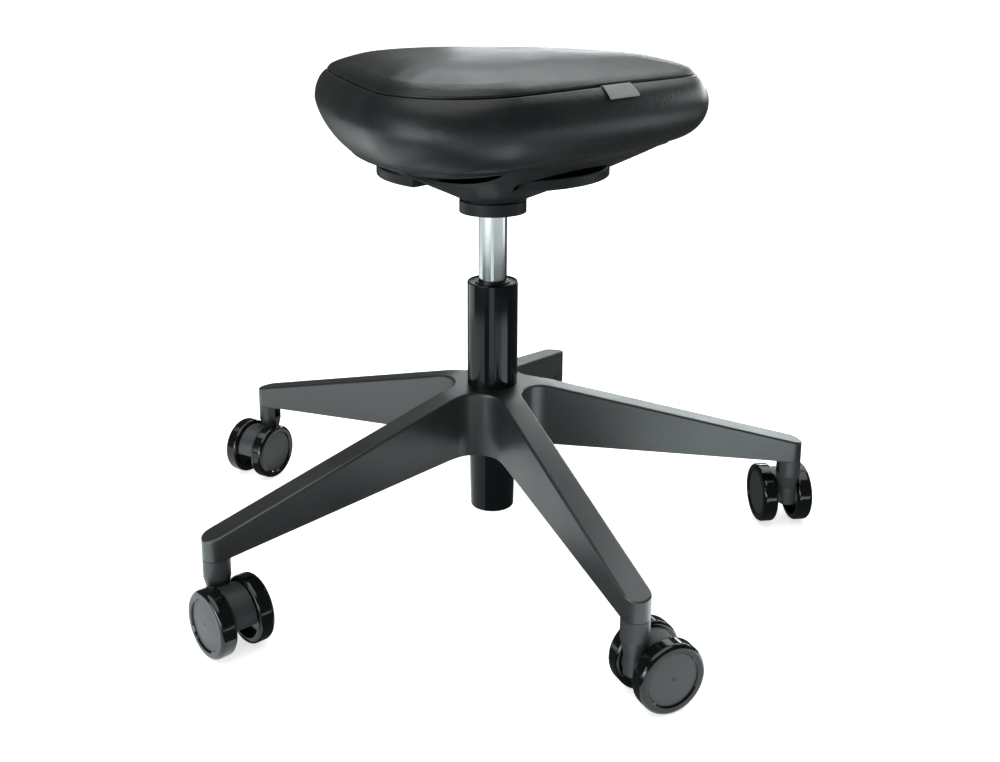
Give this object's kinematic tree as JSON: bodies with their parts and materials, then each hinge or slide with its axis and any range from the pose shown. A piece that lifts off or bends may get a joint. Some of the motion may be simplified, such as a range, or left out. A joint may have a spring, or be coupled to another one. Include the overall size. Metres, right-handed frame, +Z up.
{
  "type": "stool",
  "caption": "Working stool: rounded triangular padded seat, height-adjustable gas column with a release ring under the seat, star base and swivel casters.",
  "frame": {"origin": "on the floor, under the axis of the column", "axes": "+Z up along the column, +Y along one arm of the base; the seat's front corner points near -Y"},
  "size_m": [0.6473, 0.6292, 0.4939],
  "materials": {
    "base_coat": "satin powder coat",
    "column_black": "gloss",
    "chrome": "polished",
    "steel": "turned",
    "housing_grey": "fine satin",
    "bush_black": "satin",
    "tread_black": "gloss",
    "caster_grey": "satin",
    "rubber": "matt",
    "board": "raw plywood",
    "foam": "open foam",
    "leather": "soft satin, fine grain"
  },
  "bodies": {
    "base": {"star_base": "base_coat", "caster_stems": "steel", "stand_tube": "column_black", "guide_bush": "bush_black", "bearing_lower_washer": "steel", "bearing_balls": "steel"},
    "rod": {"piston_rod": "steel", "piston": "steel", "bearing_upper_washer": "steel", "rubber_buffer": "rubber", "retaining_clip": "steel"},
    "seat": {"pressure_cylinder": "chrome", "cylinder_gland": "steel", "taper_socket": "steel", "seat_housing": "housing_grey", "rocker_pin": "steel", "seat_pan": "housing_grey", "pan_screws": "steel", "seat_board": "board", "foam_core": "foam", "side_band": "leather", "top_panel": "leather"},
    "release_ring": {"release_ring": "housing_grey"},
    "release_rocker": {"release_rocker": "steel"},
    "release_pin": {"release_pin": "steel"},
    "caster_1": {"caster_1_body": "caster_grey", "caster_1_axle": "steel"},
    "caster_1_left": {"caster_1_wheel_left": "tread_black", "caster_1_cap_left": "caster_grey"},
    "caster_1_right": {"caster_1_wheel_right": "tread_black", "caster_1_cap_right": "caster_grey"},
    "caster_2": {"caster_2_body": "caster_grey", "caster_2_axle": "steel"},
    "caster_2_left": {"caster_2_wheel_left": "tread_black", "caster_2_cap_left": "caster_grey"},
    "caster_2_right": {"caster_2_wheel_right": "tread_black", "caster_2_cap_right": "caster_grey"},
    "caster_3": {"caster_3_body": "caster_grey", "caster_3_axle": "steel"},
    "caster_3_left": {"caster_3_wheel_left": "tread_black", "caster_3_cap_left": "caster_grey"},
    "caster_3_right": {"caster_3_wheel_right": "tread_black", "caster_3_cap_right": "caster_grey"},
    "caster_4": {"caster_4_body": "caster_grey", "caster_4_axle": "steel"},
    "caster_4_left": {"caster_4_wheel_left": "tread_black", "caster_4_cap_left": "caster_grey"},
    "caster_4_right": {"caster_4_wheel_right": "tread_black", "caster_4_cap_right": "caster_grey"},
    "caster_5": {"caster_5_body": "caster_grey", "caster_5_axle": "steel"},
    "caster_5_left": {"caster_5_wheel_left": "tread_black", "caster_5_cap_left": "caster_grey"},
    "caster_5_right": {"caster_5_wheel_right": "tread_black", "caster_5_cap_right": "caster_grey"}
  },
  "joints": [
    {"name": "column_swivel", "type": "hinge", "parent": "base", "child": "rod", "pos_m": [0, 0, 0], "axis": [0, 0, 1], "continuous": true},
    {"name": "column_lift", "type": "slide", "parent": "rod", "child": "seat", "axis": [0, 0, 1], "range_m": [-0.065, 0.06]},
    {"name": "release_lift", "type": "slide", "parent": "seat", "child": "release_ring", "axis": [0, 0, 1], "range_m": [0, 0.004], "stiffness_N_per_m": 2500, "springref_m": -0.004},
    {"name": "rocker_tilt", "type": "hinge", "parent": "seat", "child": "release_rocker", "pos_m": [0.0014, -0.03998, 0.3947], "axis": [-0.9994, -0.0349, 0], "range_deg": [0, 5.14]},
    {"name": "release_press", "type": "slide", "parent": "seat", "child": "release_pin", "axis": [0, 0, -1], "range_m": [0, 0.0037]},
    {"name": "caster_1_swivel", "type": "hinge", "parent": "base", "child": "caster_1", "pos_m": [0, 0.307, 0], "axis": [0, 0, 1], "continuous": true},
    {"name": "caster_1_left_roll", "type": "hinge", "parent": "caster_1", "child": "caster_1_left", "pos_m": [-0.02056, 0.30571, 0.03], "axis": [0.0628, -0.998, 0], "continuous": true},
    {"name": "caster_1_right_roll", "type": "hinge", "parent": "caster_1", "child": "caster_1_right", "pos_m": [-0.02056, 0.30571, 0.03], "axis": [0.0628, -0.998, 0], "continuous": true},
    {"name": "caster_2_swivel", "type": "hinge", "parent": "base", "child": "caster_2", "pos_m": [-0.29197, 0.09487, 0], "axis": [0, 0, 1], "continuous": true},
    {"name": "caster_2_left_roll", "type": "hinge", "parent": "caster_2", "child": "caster_2_left", "pos_m": [-0.2971, 0.07491, 0.03], "axis": [0.9686, -0.2487, 0], "continuous": true},
    {"name": "caster_2_right_roll", "type": "hinge", "parent": "caster_2", "child": "caster_2_right", "pos_m": [-0.2971, 0.07491, 0.03], "axis": [0.9686, -0.2487, 0], "continuous": true},
    {"name": "caster_3_swivel", "type": "hinge", "parent": "base", "child": "caster_3", "pos_m": [-0.18045, -0.24837, 0], "axis": [0, 0, 1], "continuous": true},
    {"name": "caster_3_left_roll", "type": "hinge", "parent": "caster_3", "child": "caster_3_left", "pos_m": [-0.16306, -0.25941, 0.03], "axis": [0.5358, 0.8443, 0], "continuous": true},
    {"name": "caster_3_right_roll", "type": "hinge", "parent": "caster_3", "child": "caster_3_right", "pos_m": [-0.16306, -0.25941, 0.03], "axis": [0.5358, 0.8443, 0], "continuous": true},
    {"name": "caster_4_swivel", "type": "hinge", "parent": "base", "child": "caster_4", "pos_m": [0.18045, -0.24837, 0], "axis": [0, 0, 1], "continuous": true},
    {"name": "caster_4_left_roll", "type": "hinge", "parent": "caster_4", "child": "caster_4_left", "pos_m": [0.19632, -0.23524, 0.03], "axis": [-0.6374, 0.7705, 0], "continuous": true},
    {"name": "caster_4_right_roll", "type": "hinge", "parent": "caster_4", "child": "caster_4_right", "pos_m": [0.19632, -0.23524, 0.03], "axis": [-0.6374, 0.7705, 0], "continuous": true},
    {"name": "caster_5_swivel", "type": "hinge", "parent": "base", "child": "caster_5", "pos_m": [0.29197, 0.09487, 0], "axis": [0, 0, 1], "continuous": true},
    {"name": "caster_5_left_roll", "type": "hinge", "parent": "caster_5", "child": "caster_5_left", "pos_m": [0.28439, 0.11402, 0.03], "axis": [-0.9298, -0.3681, 0], "continuous": true},
    {"name": "caster_5_right_roll", "type": "hinge", "parent": "caster_5", "child": "caster_5_right", "pos_m": [0.28439, 0.11402, 0.03], "axis": [-0.9298, -0.3681, 0], "continuous": true}
  ],
  "couplings": [
    {"joint": "rocker_tilt", "follows": "release_lift", "rad_per_m": 22.222},
    {"joint": "release_press", "follows": "release_lift", "ratio": 0.88889}
  ]
}
